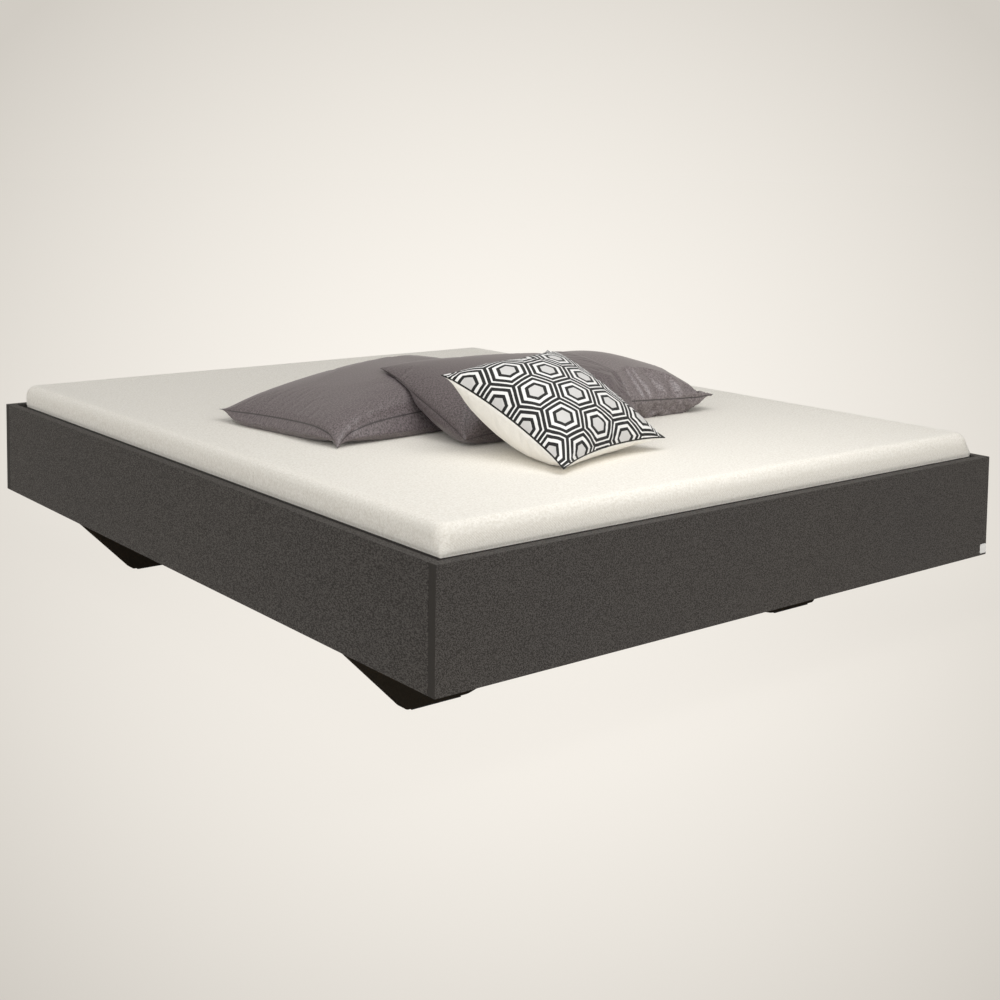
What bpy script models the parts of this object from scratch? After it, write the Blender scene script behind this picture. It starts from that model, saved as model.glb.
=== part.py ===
# Futon bed: a low panel frame on two arched cross boards, with a roll-up slat base,
# a futon mattress, three pillows and a scatter cushion.
# Metres, +Z up. The origin is on the floor at the middle of the bed, -Y is the foot end.

import math

import bmesh
import bpy
from mathutils import Euler, Matrix, Vector
from mathutils.bvhtree import BVHTree

# Driving sizes
MATTRESS_WIDTH = 1.600
MATTRESS_LENGTH = 2.000
MATTRESS_THICKNESS = 0.155
MATTRESS_SHOWS = 0.055
MATTRESS_CLEARANCE = 0.003
PANEL_HEIGHT = 0.240
PANEL_THICKNESS = 0.022
FLOOR_TO_PANEL = 0.178

# Clearances and working distances shared by all the pieces
TOUCH_GAP = 0.0003
CUT_OVERRUN = 0.002
WELD_DISTANCE = 0.00001

# Edge roundings
PANEL_EDGE = 0.0012
TIMBER_EDGE = 0.002
STEEL_EDGE = 0.0005

# Side battens and centre rail, which carry the slats
RAIL_HEIGHT = 0.045
BATTEN_WIDTH = 0.028
CENTRE_RAIL_WIDTH = 0.060
RAIL_END_CLEARANCE = 0.004

# Slat base
SLAT_COUNT = 16
SLAT_WIDTH = 0.070
SLAT_THICKNESS = 0.018
SLAT_END_CLEARANCE = 0.003
SLAT_END_MARGIN = 0.012
STRAP_WIDTH = 0.025
STRAP_THICKNESS = 0.0015
STRAP_PLACE_SHARE = 0.30

# Arched cross boards that the bed stands on
BOARD_THICKNESS = 0.028
BOARD_FROM_END = 0.380
FOOT_OUTER_INSET = 0.196
FOOT_FLAT_LENGTH = 0.156
ARCH_RISE = 0.130
FOOT_OUTER_RADIUS = 0.012
FOOT_INNER_RADIUS = 0.060
ARCH_TOP_RADIUS = 0.500
PAD_THICKNESS = 0.004
PAD_SIDE_MARGIN = 0.003
PAD_END_MARGIN = 0.015

# Centre leg and its levelling glide
LEG_WIDTH = 0.045
LEG_FLOOR_CLEARANCE = 0.020
GLIDE_RADIUS = 0.018
GLIDE_DISC = 0.006
GLIDE_STEM_RADIUS = 0.004
GLIDE_STEM_IN_LEG = 0.030
GLIDE_TRAVEL = 0.012

# Corner brackets and rail hangers
BRACKET_ARM = 0.060
BRACKET_HEIGHT = 0.040
BRACKET_STEEL = 0.003
BRACKET_ABOVE_PANEL_BOTTOM = 0.018
BRACKET_HOLE_FROM_CORNER = 0.040
HANGER_DEPTH = 0.035
HANGER_HEIGHT = 0.038
HANGER_STEEL = 0.003
HANGER_SIDE_CLEARANCE = 0.0005

# Screws and bolts
SCREW_RADIUS = 0.003
SCREW_LENGTH = 0.016
SCREW_HEAD_RADIUS = 0.006
SCREW_HEAD_HEIGHT = 0.0032
SCREW_SOCKET = 0.0022
BOLT_RADIUS = 0.004
BOLT_LENGTH = 0.070
BOLT_HEAD_RADIUS = 0.0075
BOLT_HEAD_HEIGHT = 0.005
BOLT_SOCKET = 0.0032
BOLT_HEAD_SUNK = 0.002
BORE_CLEARANCE = 0.0003
BORE_END_CLEARANCE = 0.002
TIP_CHAMFER = 0.001

# Mattress form
MATTRESS_CORNER_RADIUS = 0.048
MATTRESS_EDGE_RADIUS = 0.038

# Soft pieces keep this far from each other where they lean
SOFT_CLEARANCE = 0.0015
SOFT_REACH = 0.020
THINNEST_FILL = 0.016

# Pillows: how many cells across, and the steepness of the crown
PILLOW_CELLS = 20
CROWN_POWER = 2.2
CROWN_SHARPNESS = 0.52
BELLY_SHARPNESS = 0.34
BELLY_SWELL_SHARE = 0.035

# Places are shares of the mattress's half width and half length, measured from its middle.
# Tilts are in degrees: about the pillow's width, about its depth, and its heading.
LEFT_PILLOW = {
    "width": 0.580, "depth": 0.470, "crown": 0.090, "belly": 0.080, "seam_height": 0.050,
    "corner_drop": 0.028, "draw_in_shares": (0.02, 0.20), "skew_shares": (0.24, 0.0),
    "place_shares": (-0.385, -0.033), "tilt": (3, 0, 6),
}
RIGHT_PILLOW = {
    "width": 0.480, "depth": 0.480, "crown": 0.084, "belly": 0.080, "seam_height": 0.050,
    "corner_drop": 0.012, "draw_in_shares": (0.08, 0.06), "skew_shares": (0.0, 0.0),
    "place_shares": (0.338, -0.178), "tilt": (0, 0, 5),
}
MIDDLE_PILLOW = {
    "width": 0.540, "depth": 0.400, "crown": 0.078, "belly": 0.090, "seam_height": 0.090,
    "corner_drop": 0.006, "draw_in_shares": (0.05, 0.06), "skew_shares": (0.0, -0.40),
    "place_shares": (-0.088, -0.290), "tilt": (20, 0, 0),
}
SCATTER_CUSHION = {
    "width": 0.380, "depth": 0.380, "crown": 0.050, "belly": 0.084, "seam_height": 0.102,
    "corner_drop": 0.004, "draw_in_shares": (0.06, 0.06), "skew_shares": (0.0, 0.15),
    "place_shares": (-0.2240, -0.5790), "tilt": (25, -3, 12),
}

# Worked out from the sizes above
INNER_WIDTH = MATTRESS_WIDTH + 2 * MATTRESS_CLEARANCE
INNER_LENGTH = MATTRESS_LENGTH + 2 * MATTRESS_CLEARANCE
BED_WIDTH = INNER_WIDTH + 2 * PANEL_THICKNESS
BED_LENGTH = INNER_LENGTH + 2 * PANEL_THICKNESS
PANEL_TOP = FLOOR_TO_PANEL + PANEL_HEIGHT
PANEL_MIDDLE = FLOOR_TO_PANEL + PANEL_HEIGHT / 2
MATTRESS_TOP = PANEL_TOP + MATTRESS_SHOWS
MATTRESS_BOTTOM = MATTRESS_TOP - MATTRESS_THICKNESS
STRAP_BOTTOM = MATTRESS_BOTTOM - TOUCH_GAP - STRAP_THICKNESS
SLAT_TOP = STRAP_BOTTOM - TOUCH_GAP
SLAT_BOTTOM = SLAT_TOP - SLAT_THICKNESS
RAIL_TOP = SLAT_BOTTOM - TOUCH_GAP
RAIL_BOTTOM = RAIL_TOP - RAIL_HEIGHT
BOARD_TOP = RAIL_BOTTOM - TOUCH_GAP
FOOT_BOTTOM = PAD_THICKNESS + TOUCH_GAP
BOARD_Y = BED_LENGTH / 2 - BOARD_FROM_END
BATTEN_X = INNER_WIDTH / 2 - TOUCH_GAP - BATTEN_WIDTH / 2
PILLOW_FLOOR = MATTRESS_TOP + TOUCH_GAP


def clear_scene():
    for old in list(bpy.data.objects):
        bpy.data.objects.remove(old, do_unlink=True)
    for old in list(bpy.data.collections):
        bpy.data.collections.remove(old)


def new_collection(name):
    made = bpy.data.collections.new(name)
    bpy.context.scene.collection.children.link(made)
    return made


def new_material(name, colour, roughness, metallic=0.0):
    made = bpy.data.materials.new(name)
    made.use_nodes = True
    shader = made.node_tree.nodes["Principled BSDF"]
    shader.inputs["Base Color"].default_value = (*colour, 1.0)
    shader.inputs["Roughness"].default_value = roughness
    shader.inputs["Metallic"].default_value = metallic
    made.diffuse_color = (*colour, 1.0)
    return made


clear_scene()
PARTS = new_collection("futon_bed")
CUTTERS = new_collection("cutters")

GRAPHITE_BOARD = new_material("graphite_board", (0.064, 0.061, 0.058), 0.60)
BLACK_BOARD = new_material("black_board", (0.012, 0.011, 0.010), 0.55)
PINE = new_material("pine", (0.62, 0.45, 0.27), 0.60)
WEBBING = new_material("webbing", (0.70, 0.68, 0.62), 0.90)
STEEL = new_material("zinc_plated_steel", (0.60, 0.61, 0.62), 0.35, 1.0)
BLACK_PLASTIC = new_material("black_plastic", (0.020, 0.020, 0.020), 0.50)
FELT = new_material("felt", (0.10, 0.09, 0.08), 0.95)
MATTRESS_CLOTH = new_material("mattress_cloth", (0.72, 0.70, 0.64), 0.90)
TAUPE_SATIN = new_material("taupe_satin", (0.16, 0.14, 0.14), 0.50)
PRINTED_COTTON = new_material("printed_cotton", (0.75, 0.73, 0.68), 0.85)


def add_object(name, mesh, material, location=(0, 0, 0), rotation=(0, 0, 0)):
    made = bpy.data.objects.new(name, mesh)
    made.location = location
    made.rotation_euler = rotation
    if material:
        mesh.materials.append(material)
        PARTS.objects.link(made)
    else:
        made.hide_render = True
        made.display_type = "WIRE"
        CUTTERS.objects.link(made)
    return made


def mesh_from(bm, name):
    mesh = bpy.data.meshes.new(name)
    bm.to_mesh(mesh)
    bm.free()
    return mesh


def round_edges(piece, width, segments=1):
    bevel = piece.modifiers.new("rounded_edges", "BEVEL")
    bevel.width = width
    bevel.segments = segments
    bevel.limit_method = "ANGLE"
    return bevel


def box(name, size, location, material=None, edge=0.0, segments=1):
    bm = bmesh.new()
    bmesh.ops.create_cube(bm, size=1, matrix=Matrix.Diagonal((*size, 1)))
    piece = add_object(name, mesh_from(bm, name), material, location)
    if edge:
        round_edges(piece, edge, segments)
    return piece


def cut(target, cutter):
    hole = target.modifiers.new("cut", "BOOLEAN")
    hole.operation = "DIFFERENCE"
    hole.solver = "EXACT"
    hole.object = cutter


def cylinder_cutter(name, radius, depth, location, rotation=(0, 0, 0), sides=16):
    bm = bmesh.new()
    bmesh.ops.create_cone(
        bm, cap_ends=True, segments=sides, radius1=radius, radius2=radius, depth=depth
    )
    return add_object(name, mesh_from(bm, name), None, location, rotation)


def turned(name, profile, material, location, rotation=(0, 0, 0), steps=16):
    # The profile runs from the top of the axis, down the outside, to its foot.
    mesh = bpy.data.meshes.new(name)
    rings = [(radius, 0, height) for radius, height in profile]
    mesh.from_pydata(rings, [(i, i + 1) for i in range(len(rings) - 1)], [])
    piece = add_object(name, mesh, material, location, rotation)
    turn = piece.modifiers.new("turned", "SCREW")
    turn.axis = "Z"
    turn.steps = steps
    turn.render_steps = steps
    turn.use_merge_vertices = True
    turn.merge_threshold = WELD_DISTANCE
    return piece


def rounded_outline(corners, radii, steps):
    # Corner points in order, each replaced by an arc of its own radius.
    outline = []
    for i, corner in enumerate(corners):
        here = Vector(corner)
        back = (Vector(corners[i - 1]) - here).normalized()
        ahead = (Vector(corners[(i + 1) % len(corners)]) - here).normalized()
        if not radii[i]:
            outline.append(here)
            continue
        half_angle = back.angle(ahead) / 2
        reach = radii[i] / math.tan(half_angle)
        centre = here + (back + ahead).normalized() * radii[i] / math.sin(half_angle)
        start = here + back * reach - centre
        end = here + ahead * reach - centre
        sweep = start.angle_signed(end)
        for k in range(steps + 1):
            outline.append(centre + Matrix.Rotation(-sweep * k / steps, 2) @ start)
    return outline


def plate(name, outline, thickness, material, location, rotation=(0, 0, 0), edge=0.0):
    # A flat outline, filled and given its thickness along its own Z.
    curve = bpy.data.curves.new(name, "CURVE")
    curve.dimensions = "2D"
    curve.fill_mode = "BOTH"
    curve.extrude = thickness / 2
    line = curve.splines.new("POLY")
    line.points.add(len(outline) - 1)
    for point, (x, y) in zip(line.points, outline):
        point.co = (x, y, 0, 1)
    line.use_cyclic_u = True
    guide = bpy.data.objects.new(name + "_outline", curve)
    CUTTERS.objects.link(guide)
    bpy.context.view_layer.update()
    mesh = bpy.data.meshes.new_from_object(guide.evaluated_get(bpy.context.evaluated_depsgraph_get()))
    bpy.data.objects.remove(guide, do_unlink=True)
    bm = bmesh.new()
    bm.from_mesh(mesh)
    bmesh.ops.remove_doubles(bm, verts=bm.verts, dist=WELD_DISTANCE)
    bm.to_mesh(mesh)
    bm.free()
    mesh.materials.clear()
    piece = add_object(name, mesh, material, location, rotation)
    if edge:
        round_edges(piece, edge)
    return piece


# Frame panels: the end panels cover the ends of the side panels
def build_panels():
    side_length = INNER_LENGTH - 2 * TOUCH_GAP
    side_x = (INNER_WIDTH + PANEL_THICKNESS) / 2
    end_y = (INNER_LENGTH + PANEL_THICKNESS) / 2
    side_size = (PANEL_THICKNESS, side_length, PANEL_HEIGHT)
    end_size = (BED_WIDTH, PANEL_THICKNESS, PANEL_HEIGHT)
    places = {
        "side_panel_left": (side_size, (-side_x, 0, PANEL_MIDDLE)),
        "side_panel_right": (side_size, (side_x, 0, PANEL_MIDDLE)),
        "foot_panel": (end_size, (0, -end_y, PANEL_MIDDLE)),
        "head_panel": (end_size, (0, end_y, PANEL_MIDDLE)),
    }
    return {
        name: box(name, size, place, GRAPHITE_BOARD, PANEL_EDGE, 2)
        for name, (size, place) in places.items()
    }


# Battens along the sides, the centre rail, and the steel shoes that hold its ends
def build_rails():
    batten_length = INNER_LENGTH - 2 * RAIL_END_CLEARANCE
    rail_length = INNER_LENGTH - 2 * (TOUCH_GAP + HANGER_STEEL + RAIL_END_CLEARANCE)
    height = RAIL_TOP - RAIL_HEIGHT / 2
    rails = {}
    for side, sign in (("left", -1), ("right", 1)):
        name = "side_batten_" + side
        size = (BATTEN_WIDTH, batten_length, RAIL_HEIGHT)
        rails[name] = box(name, size, (sign * BATTEN_X, 0, height), PINE, TIMBER_EDGE)
    size = (CENTRE_RAIL_WIDTH, rail_length, RAIL_HEIGHT)
    rails["centre_rail"] = box("centre_rail", size, (0, 0, height), PINE, TIMBER_EDGE)
    return rails


def build_hangers():
    pocket_width = CENTRE_RAIL_WIDTH + 2 * HANGER_SIDE_CLEARANCE
    shoe_width = pocket_width + 2 * HANGER_STEEL
    shoe_bottom = RAIL_BOTTOM - TOUCH_GAP - HANGER_STEEL
    hangers = {}
    for end, sign in (("foot", -1), ("head", 1)):
        name = "rail_hanger_" + end
        y = sign * (INNER_LENGTH / 2 - TOUCH_GAP - HANGER_DEPTH / 2)
        size = (shoe_width, HANGER_DEPTH, HANGER_HEIGHT)
        shoe = box(name, size, (0, y, shoe_bottom + HANGER_HEIGHT / 2), STEEL, STEEL_EDGE)
        pocket = box(
            name + "_pocket",
            (pocket_width, HANGER_DEPTH + CUT_OVERRUN, HANGER_HEIGHT + CUT_OVERRUN),
            (
                0,
                y - sign * (HANGER_STEEL + CUT_OVERRUN / 2),
                shoe_bottom + HANGER_STEEL + (HANGER_HEIGHT + CUT_OVERRUN) / 2,
            ),
        )
        cut(shoe, pocket)
        hangers[end] = shoe
    return hangers


# Roll-up slat base: slats held at their pitch by two webbing straps on top
def build_slat_base():
    slat_length = INNER_WIDTH - 2 * SLAT_END_CLEARANCE
    first = -INNER_LENGTH / 2 + SLAT_END_MARGIN + SLAT_WIDTH / 2
    pitch = -2 * first / (SLAT_COUNT - 1)
    for i in range(SLAT_COUNT):
        box(
            f"slat_{i + 1:02d}",
            (slat_length, SLAT_WIDTH, SLAT_THICKNESS),
            (0, first + i * pitch, SLAT_TOP - SLAT_THICKNESS / 2),
            PINE,
            TIMBER_EDGE,
        )
    strap_length = SLAT_WIDTH - 2 * first
    for side, sign in (("left", -1), ("right", 1)):
        x = sign * STRAP_PLACE_SHARE * slat_length
        place = (x, 0, STRAP_BOTTOM + STRAP_THICKNESS / 2)
        box("slat_strap_" + side, (STRAP_WIDTH, strap_length, STRAP_THICKNESS), place, WEBBING)


# Cross boards: one wide board at each end, cut to two feet with a shallow arch between
def build_cross_boards():
    end = INNER_WIDTH / 2 - TOUCH_GAP
    outer = BED_WIDTH / 2 - FOOT_OUTER_INSET
    inner = outer - FOOT_FLAT_LENGTH
    half = [
        (0, FOOT_BOTTOM + ARCH_RISE),
        (inner, FOOT_BOTTOM),
        (outer, FOOT_BOTTOM),
        (end, FLOOR_TO_PANEL),
        (end, BOARD_TOP),
    ]
    radii = [ARCH_TOP_RADIUS, FOOT_INNER_RADIUS, FOOT_OUTER_RADIUS, 0, 0]
    mirrored = [(-x, z) for x, z in reversed(half[1:])]
    outline = rounded_outline(half + mirrored, radii + radii[:0:-1], 6)
    boards = {}
    for which, sign in (("front", -1), ("rear", 1)):
        name = "cross_board_" + which
        y = sign * BOARD_Y
        stand = (math.pi / 2, 0, 0)
        boards[which] = plate(
            name, outline, BOARD_THICKNESS, BLACK_BOARD, (0, y, 0), stand, TIMBER_EDGE / 2
        )
        for side, hand in (("left", -1), ("right", 1)):
            box(
                f"foot_pad_{which}_{side}",
                (
                    FOOT_FLAT_LENGTH - 2 * PAD_END_MARGIN,
                    BOARD_THICKNESS - 2 * PAD_SIDE_MARGIN,
                    PAD_THICKNESS,
                ),
                (hand * (outer + inner) / 2, y, PAD_THICKNESS / 2),
                FELT,
            )
    return boards


# Centre leg under the rail, with a screwed glide that sets its height
def build_leg():
    length = RAIL_BOTTOM - TOUCH_GAP - LEG_FLOOR_CLEARANCE
    middle = LEG_FLOOR_CLEARANCE + length / 2
    leg = box("centre_leg", (LEG_WIDTH, LEG_WIDTH, length), (0, 0, middle), PINE, TIMBER_EDGE)
    stem_top = LEG_FLOOR_CLEARANCE + GLIDE_STEM_IN_LEG
    bore_top = stem_top + GLIDE_TRAVEL + BORE_END_CLEARANCE
    bore_bottom = LEG_FLOOR_CLEARANCE - CUT_OVERRUN
    bore = cylinder_cutter(
        "glide_bore",
        GLIDE_STEM_RADIUS + BORE_CLEARANCE,
        bore_top - bore_bottom,
        (0, 0, (bore_top + bore_bottom) / 2),
    )
    cut(leg, bore)
    profile = [
        (0, stem_top),
        (GLIDE_STEM_RADIUS - TIP_CHAMFER, stem_top),
        (GLIDE_STEM_RADIUS, stem_top - TIP_CHAMFER),
        (GLIDE_STEM_RADIUS, GLIDE_DISC),
        (GLIDE_RADIUS - TIP_CHAMFER, GLIDE_DISC),
        (GLIDE_RADIUS, GLIDE_DISC - TIP_CHAMFER),
        (GLIDE_RADIUS, TIP_CHAMFER),
        (GLIDE_RADIUS - TIP_CHAMFER, 0),
        (0, 0),
    ]
    turned("centre_leg_glide", profile, BLACK_PLASTIC, (0, 0, 0), steps=20)
    return leg


# Screws and bolts: the head's underside is at the object's origin, the shank along -Z
def fastener(name, location, rotation, radius, length, head_radius, head_height, socket):
    profile = [
        (0, head_height),
        (head_radius - TIP_CHAMFER, head_height),
        (head_radius, head_height - TIP_CHAMFER),
        (head_radius, 0),
        (radius, 0),
        (radius, TIP_CHAMFER - length),
        (radius - TIP_CHAMFER, -length),
        (0, -length),
    ]
    piece = turned(name, profile, STEEL, location, rotation, steps=12)
    recess = cylinder_cutter(name + "_socket", socket, head_height, (0, 0, head_height), sides=6)
    recess.parent = piece
    cut(piece, recess)
    return piece


def screw(name, location, rotation, targets):
    # A bracket screw with its bore through the bracket and into the panel.
    fastener(
        name, location, rotation, SCREW_RADIUS, SCREW_LENGTH,
        SCREW_HEAD_RADIUS, SCREW_HEAD_HEIGHT, SCREW_SOCKET,
    )
    depth = SCREW_LENGTH + BORE_END_CLEARANCE + CUT_OVERRUN
    turn = Euler(rotation).to_matrix()
    middle = Vector(location) + turn @ Vector((0, 0, CUT_OVERRUN - depth / 2))
    bore = cylinder_cutter(name + "_bore", SCREW_RADIUS + BORE_CLEARANCE, depth, middle, rotation)
    for target in targets:
        cut(target, bore)


def bolt(name, x, y, rail, below):
    # An upright bolt, its head sunk in the top of a rail and its end in the piece below.
    seat = RAIL_TOP - BOLT_HEAD_SUNK - BOLT_HEAD_HEIGHT
    fastener(
        name, (x, y, seat), (0, 0, 0), BOLT_RADIUS, BOLT_LENGTH,
        BOLT_HEAD_RADIUS, BOLT_HEAD_HEIGHT, BOLT_SOCKET,
    )
    well_bottom = seat - TOUCH_GAP
    well_top = RAIL_TOP + CUT_OVERRUN
    well = cylinder_cutter(
        name + "_well",
        BOLT_HEAD_RADIUS + BORE_CLEARANCE,
        well_top - well_bottom,
        (x, y, (well_top + well_bottom) / 2),
    )
    bore_bottom = seat - BOLT_LENGTH - BORE_END_CLEARANCE
    bore = cylinder_cutter(
        name + "_bore",
        BOLT_RADIUS + BORE_CLEARANCE,
        well_top - bore_bottom,
        (x, y, (well_top + bore_bottom) / 2),
    )
    cut(rail, well)
    cut(rail, bore)
    cut(below, bore)


# Steel angles in the four corners, each with a screw into both panels
def build_corner_brackets(panels):
    arm, steel = BRACKET_ARM, BRACKET_STEEL
    outline = [(0, 0), (arm, 0), (arm, steel), (steel, steel), (steel, arm), (0, arm)]
    z = FLOOR_TO_PANEL + BRACKET_ABOVE_PANEL_BOTTOM + BRACKET_HEIGHT / 2
    corner_x = INNER_WIDTH / 2 - TOUCH_GAP
    corner_y = INNER_LENGTH / 2 - TOUCH_GAP
    corners = (
        ("foot", "left", -1, -1, 0),
        ("foot", "right", 1, -1, 1),
        ("head", "right", 1, 1, 2),
        ("head", "left", -1, 1, 3),
    )
    for end, side, sx, sy, quarter in corners:
        name = f"corner_bracket_{end}_{side}"
        place = (sx * corner_x, sy * corner_y, z)
        turn = (0, 0, quarter * math.pi / 2)
        bracket = plate(name, outline, BRACKET_HEIGHT, STEEL, place, turn, STEEL_EDGE)
        seat_x = sx * (corner_x - steel - TOUCH_GAP)
        seat_y = sy * (corner_y - steel - TOUCH_GAP)
        hole_x = sx * (corner_x - BRACKET_HOLE_FROM_CORNER)
        hole_y = sy * (corner_y - BRACKET_HOLE_FROM_CORNER)
        screw(
            f"corner_screw_{end}_{side}_a",
            (seat_x, hole_y, z),
            (0, -sx * math.pi / 2, 0),
            (bracket, panels["side_panel_" + side]),
        )
        screw(
            f"corner_screw_{end}_{side}_b",
            (hole_x, seat_y, z),
            (sy * math.pi / 2, 0, 0),
            (bracket, panels[end + "_panel"]),
        )


def build_fasteners(panels, rails, hangers, boards, leg):
    for which, sign in (("front", -1), ("rear", 1)):
        for side, hand in (("left", -1), ("right", 1)):
            bolt(
                f"board_bolt_{which}_{side}",
                hand * BATTEN_X,
                sign * BOARD_Y,
                rails["side_batten_" + side],
                boards[which],
            )
    bolt("leg_bolt", 0, 0, rails["centre_rail"], leg)
    screw_z = RAIL_BOTTOM + HANGER_HEIGHT / 2
    for end, sign in (("foot", -1), ("head", 1)):
        seat = sign * (INNER_LENGTH / 2 - 2 * TOUCH_GAP - HANGER_STEEL)
        screw(
            f"hanger_screw_{end}",
            (0, seat, screw_z),
            (sign * math.pi / 2, 0, 0),
            (hangers[end], panels[end + "_panel"]),
        )


# Mattress: a block with rounded corners and soft, full edges
def build_mattress():
    bm = bmesh.new()
    size = (MATTRESS_WIDTH, MATTRESS_LENGTH, MATTRESS_THICKNESS)
    bmesh.ops.create_cube(bm, size=1, matrix=Matrix.Diagonal((*size, 1)))
    upright = [e for e in bm.edges if abs(e.verts[0].co.z - e.verts[1].co.z) > TOUCH_GAP]
    bmesh.ops.bevel(
        bm, geom=upright, offset=MATTRESS_CORNER_RADIUS, segments=5, profile=0.5, affect="EDGES"
    )
    level = [
        e for e in bm.edges
        if abs(e.verts[0].co.z - e.verts[1].co.z) < TOUCH_GAP and e.calc_face_angle(0) > 1
    ]
    bmesh.ops.bevel(
        bm, geom=level, offset=MATTRESS_EDGE_RADIUS, segments=6, profile=0.5, affect="EDGES"
    )
    middle = (MATTRESS_TOP + MATTRESS_BOTTOM) / 2
    mattress = add_object("mattress", mesh_from(bm, "mattress"), MATTRESS_CLOTH, (0, 0, middle))
    mattress.data.shade_smooth()
    return mattress


def top_of(pieces, x, y):
    # The highest point of some pieces near a place, or the mattress where there is none.
    high = MATTRESS_TOP + MATTRESS_LENGTH
    best = PILLOW_FLOOR
    around = [(0, 0)] + [
        (math.cos(k * math.pi / 4), math.sin(k * math.pi / 4)) for k in range(8)
    ]
    for tree in pieces:
        for dx, dy in around:
            start = (x + dx * SOFT_REACH, y + dy * SOFT_REACH, high)
            hit = tree.ray_cast(start, (0, 0, -1))[0]
            if hit:
                best = max(best, hit.z + SOFT_CLEARANCE)
    return best


def tree_of(piece):
    bpy.context.view_layer.update()
    bm = bmesh.new()
    bm.from_mesh(piece.data)
    bm.transform(piece.matrix_world)
    tree = BVHTree.FromBMesh(bm)
    bm.free()
    return tree


def crown_at(u, v, skew, sharpness):
    # The share of full height at a place, from 0 on the seam to 1 at the crown.
    along = u - skew[0] * (1 - u * u)
    across = v - skew[1] * (1 - v * v)
    fall = (1 - abs(along) ** CROWN_POWER) * (1 - abs(across) ** CROWN_POWER)
    return max(fall, 0) ** sharpness


def pillow(name, form, material, below):
    # Two crowned sheets sewn at their edges; the lower one lies on what is below.
    turn = Euler([math.radians(angle) for angle in form["tilt"]]).to_matrix()
    share_x, share_y = form["place_shares"]
    middle = Vector((
        share_x * MATTRESS_WIDTH / 2,
        share_y * MATTRESS_LENGTH / 2,
        MATTRESS_TOP + form["seam_height"],
    ))
    bm = bmesh.new()
    lowest = {}
    for side, bulge, sharpness, swell in (
        (-1, form["belly"], BELLY_SHARPNESS, BELLY_SWELL_SHARE),
        (1, form["crown"], CROWN_SHARPNESS, 0),
    ):
        sheet = bmesh.ops.create_grid(bm, x_segments=PILLOW_CELLS, y_segments=PILLOW_CELLS, size=1)
        for vert in sheet["verts"]:
            u = math.sin(vert.co.x * math.pi / 2)
            v = math.sin(vert.co.y * math.pi / 2)
            key = (round(vert.co.x * PILLOW_CELLS), round(vert.co.y * PILLOW_CELLS))
            on_seam = max(abs(key[0]), abs(key[1])) == PILLOW_CELLS
            side_draw, end_draw = form["draw_in_shares"]
            share = 0 if on_seam else crown_at(u, v, form["skew_shares"], sharpness)
            swollen = 1 + swell * 4 * share * (1 - share)
            place = Vector((
                u * form["width"] / 2 * (1 - side_draw * (1 - v * v)) * swollen,
                v * form["depth"] / 2 * (1 - end_draw * (1 - u * u)) * swollen,
                side * bulge * share - form["corner_drop"] * abs(u * v) ** 3,
            ))
            place = middle + turn @ place
            if side < 0:
                place.z = max(place.z, top_of(below, place.x, place.y))
                lowest[key] = place.copy()
            elif on_seam:
                place = lowest[key].copy()
            else:
                place.z = max(place.z, lowest[key].z + THINNEST_FILL * share)
            vert.co = place - middle
        if side < 0:
            bmesh.ops.reverse_faces(bm, faces=bm.faces)
    bmesh.ops.remove_doubles(bm, verts=bm.verts, dist=WELD_DISTANCE)
    piece = add_object(name, mesh_from(bm, name), material, middle)
    piece.data.shade_smooth()
    return piece


def build_pillows():
    left = pillow("pillow_left", LEFT_PILLOW, TAUPE_SATIN, [])
    left_tree = tree_of(left)
    right = pillow("pillow_right", RIGHT_PILLOW, TAUPE_SATIN, [left_tree])
    right_tree = tree_of(right)
    middle = pillow("pillow_middle", MIDDLE_PILLOW, TAUPE_SATIN, [left_tree, right_tree])
    trees = [left_tree, right_tree, tree_of(middle)]
    pillow("scatter_cushion", SCATTER_CUSHION, PRINTED_COTTON, trees)


def main():
    panels = build_panels()
    rails = build_rails()
    hangers = build_hangers()
    boards = build_cross_boards()
    leg = build_leg()
    build_corner_brackets(panels)
    build_fasteners(panels, rails, hangers, boards, leg)
    build_slat_base()
    build_mattress()
    build_pillows()


main()
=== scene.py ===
import math

import bmesh
import bpy
import numpy as np
from mathutils import Euler, Matrix, Vector
from mathutils.bvhtree import BVHTree


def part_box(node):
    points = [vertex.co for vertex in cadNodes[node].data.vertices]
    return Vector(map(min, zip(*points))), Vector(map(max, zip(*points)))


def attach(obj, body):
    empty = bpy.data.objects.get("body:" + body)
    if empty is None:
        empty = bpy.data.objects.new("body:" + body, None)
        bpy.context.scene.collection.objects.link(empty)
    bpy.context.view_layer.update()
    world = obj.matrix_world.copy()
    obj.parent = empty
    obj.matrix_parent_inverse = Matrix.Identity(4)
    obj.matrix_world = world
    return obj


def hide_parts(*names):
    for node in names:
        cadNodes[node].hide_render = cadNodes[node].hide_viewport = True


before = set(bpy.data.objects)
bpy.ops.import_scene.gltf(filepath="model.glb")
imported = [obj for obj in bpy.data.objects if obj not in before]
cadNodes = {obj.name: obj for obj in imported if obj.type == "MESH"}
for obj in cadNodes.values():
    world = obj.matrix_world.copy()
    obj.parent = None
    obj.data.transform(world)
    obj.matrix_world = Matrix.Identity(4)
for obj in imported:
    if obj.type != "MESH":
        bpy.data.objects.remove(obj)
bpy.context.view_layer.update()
scene = bpy.context.scene
print("frame loaded:", len(cadNodes), "nodes")


# Camera at the photograph's view

photoView = {
    "place": (-2.32603, -3.08513, 1.123133),
    "turn": 38.43376,   # degrees away from straight up the bed
    "dip": 4.67487,     # degrees below the level
    "roll": 0.70747,
    "lens": 53.93,
    "sensor": 36,
    "drop": -0.22,      # the lens shift that keeps the panels upright
    "pixels": 1000,     # the square photograph's side
}


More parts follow.
